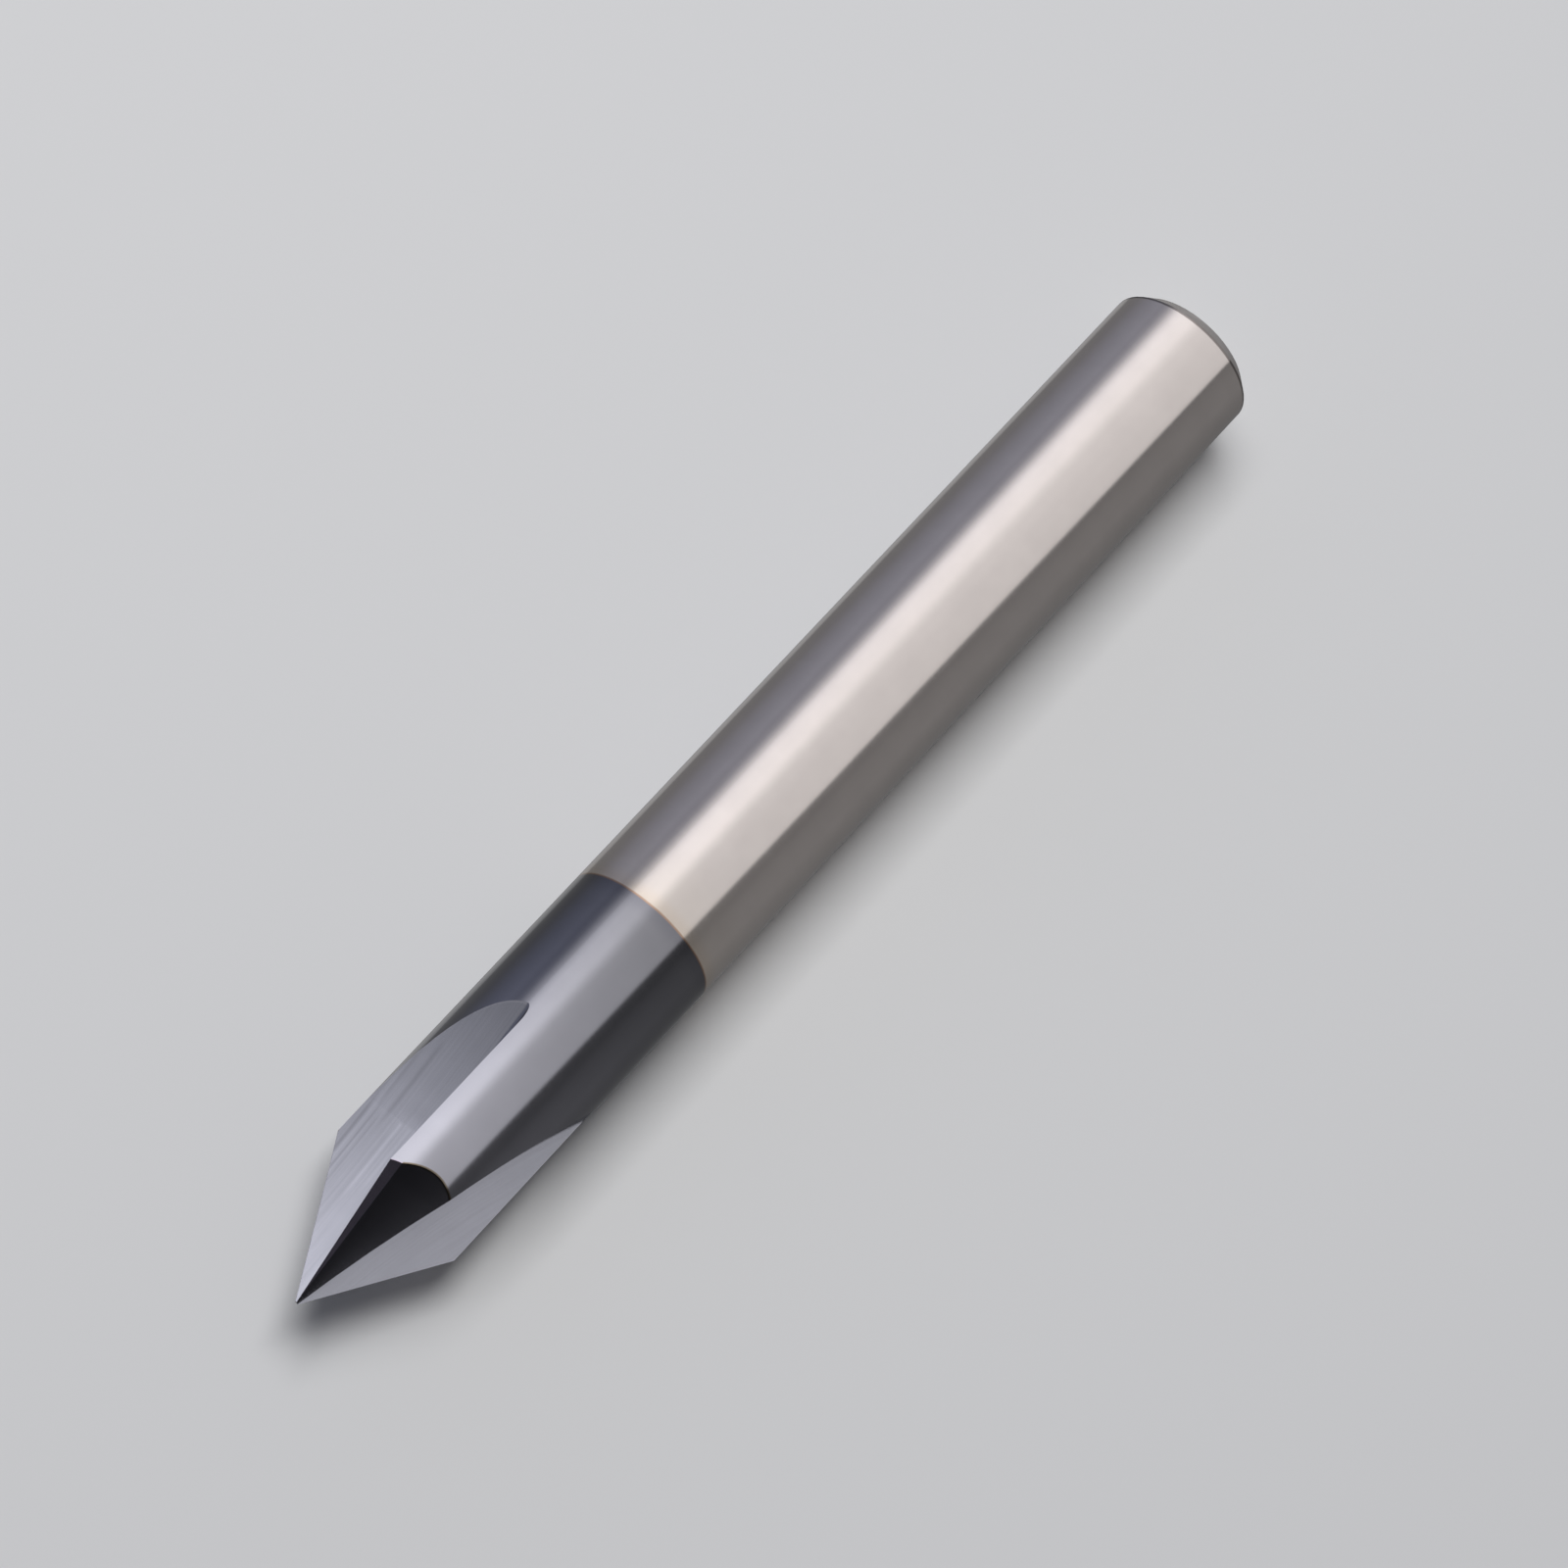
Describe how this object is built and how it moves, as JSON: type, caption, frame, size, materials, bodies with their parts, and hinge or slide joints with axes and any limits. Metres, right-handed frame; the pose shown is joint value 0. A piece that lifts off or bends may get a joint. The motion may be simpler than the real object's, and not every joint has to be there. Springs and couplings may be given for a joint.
{
  "type": "v groove router bit",
  "caption": "Solid carbide V groove router bit: a plain round shank and straight flutes ending in a sharp V point, for V grooves, chamfers and engraved lines.",
  "frame": {"origin": "centre of the flat shank end, which the bit stands on", "axes": "+Z along the axis from the shank end to the tip"},
  "size_m": [0.006, 0.006, 0.05],
  "materials": {
    "carbide": "ground tungsten carbide, with a dark grey hard coating over the front third"
  },
  "bodies": {
    "root": {"router_bit": "carbide"}
  },
  "joints": []
}
